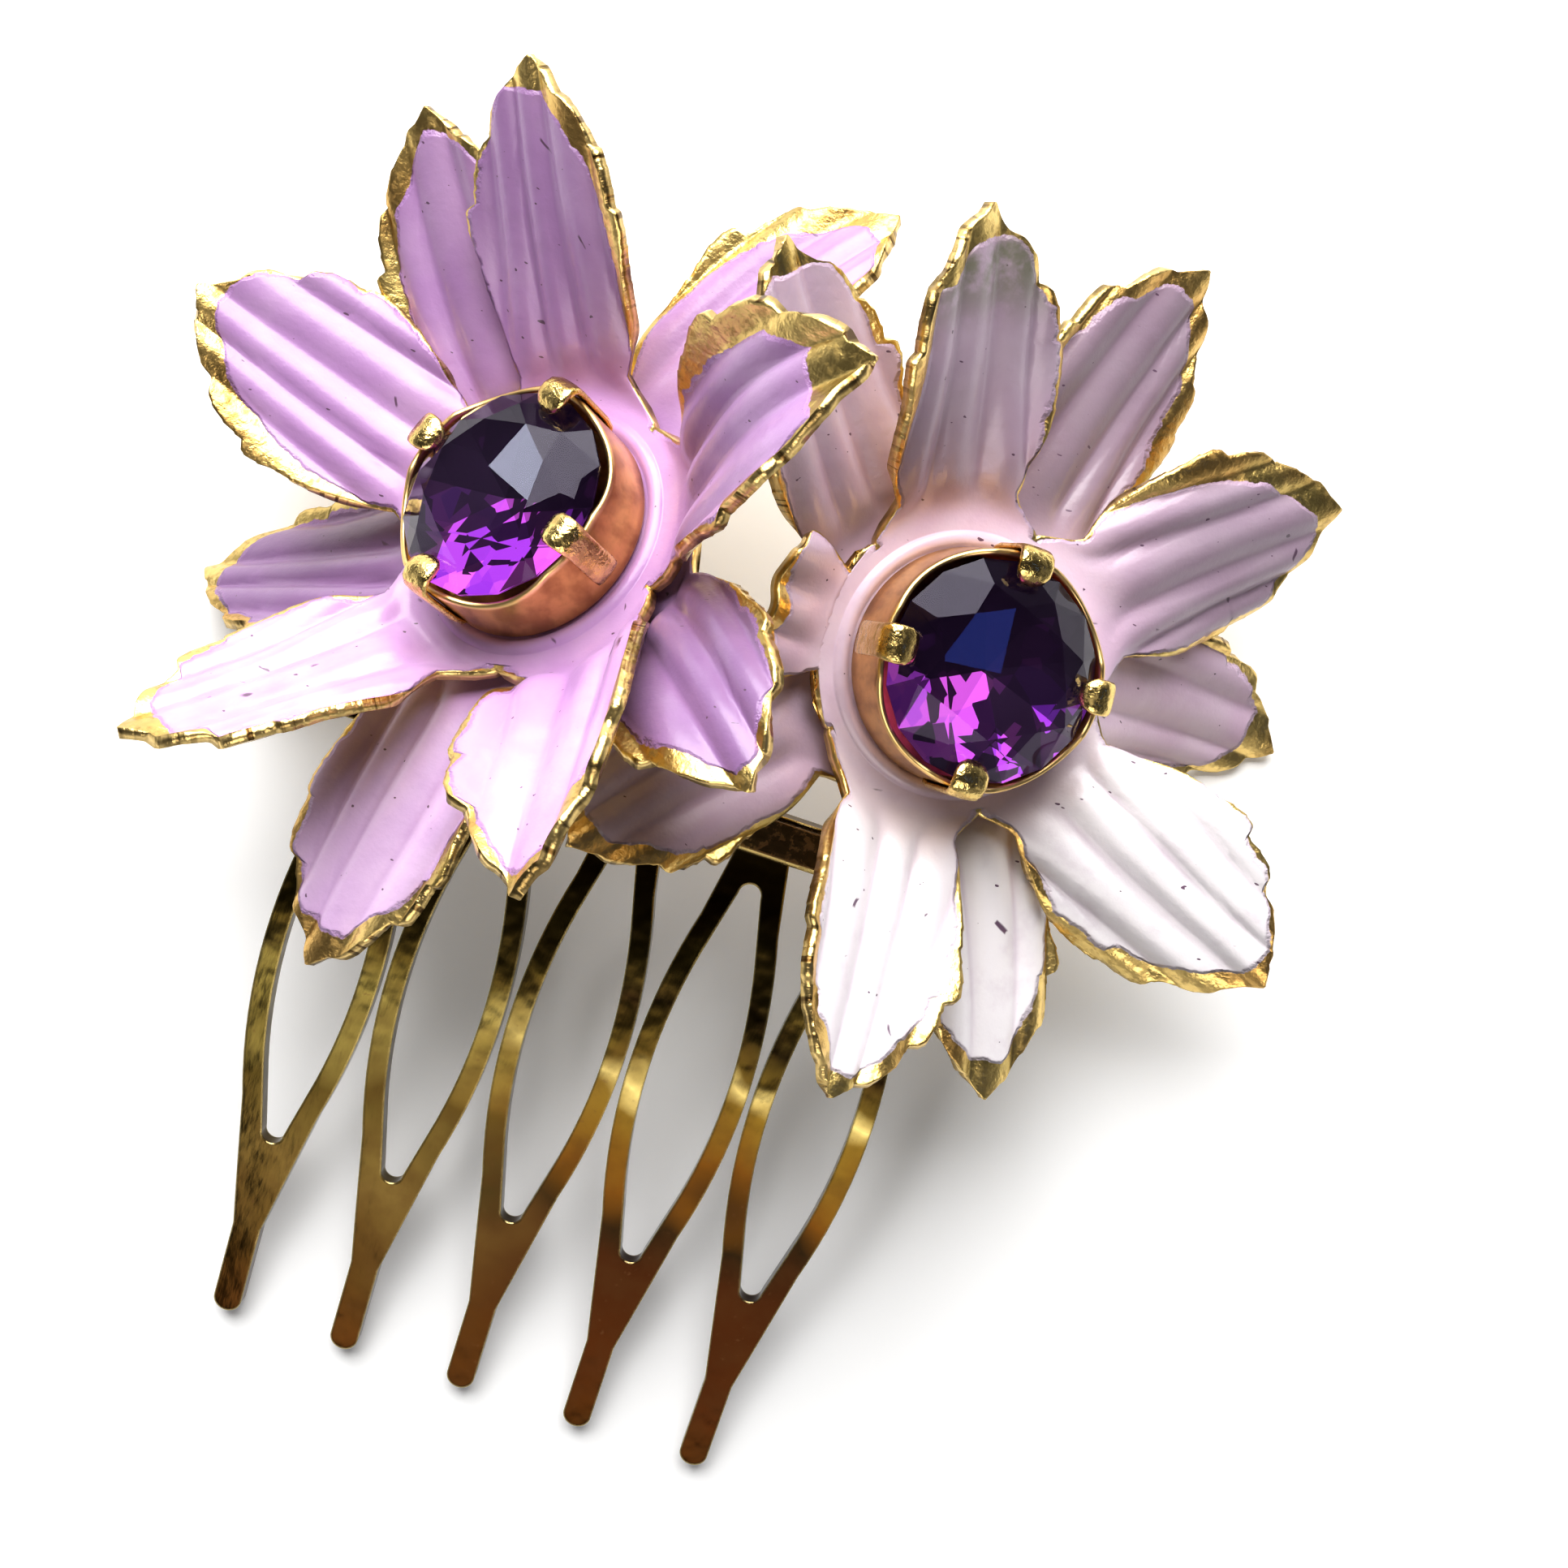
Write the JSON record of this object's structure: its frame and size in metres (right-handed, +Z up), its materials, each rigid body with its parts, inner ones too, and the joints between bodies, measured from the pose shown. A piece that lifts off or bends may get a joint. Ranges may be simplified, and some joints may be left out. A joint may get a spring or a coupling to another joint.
{
  "type": "decorative hair comb",
  "caption": "Brass hair comb whose looped teeth slide into hair, topped by layered enamelled metal flowers with prong-set faceted stones",
  "frame": {"origin": "middle of the bounding box's base, on the table the comb lies on", "axes": "+Z up through the flowers, -Y the way the teeth point, X along the spine"},
  "size_m": [0.069, 0.0764, 0.0339],
  "materials": {
    "aged_brass": "polished, antiqued",
    "cup_brass": "satin",
    "left_enamel": "gloss enamel",
    "right_enamel": "gloss enamel",
    "amethyst": "faceted",
    "solder": "dull"
  },
  "bodies": {
    "root": {"comb": "aged_brass", "left_front_petals": "left_enamel", "left_back_petals": "left_enamel", "right_front_petals": "right_enamel", "right_back_petals": "right_enamel", "left_stone_cup": "cup_brass", "right_stone_cup": "cup_brass", "left_stone": "amethyst", "right_stone": "amethyst", "spacer_washers": "aged_brass", "rivets": "cup_brass", "mount_strap": "aged_brass", "solder_seam": "solder"}
  },
  "joints": []
}
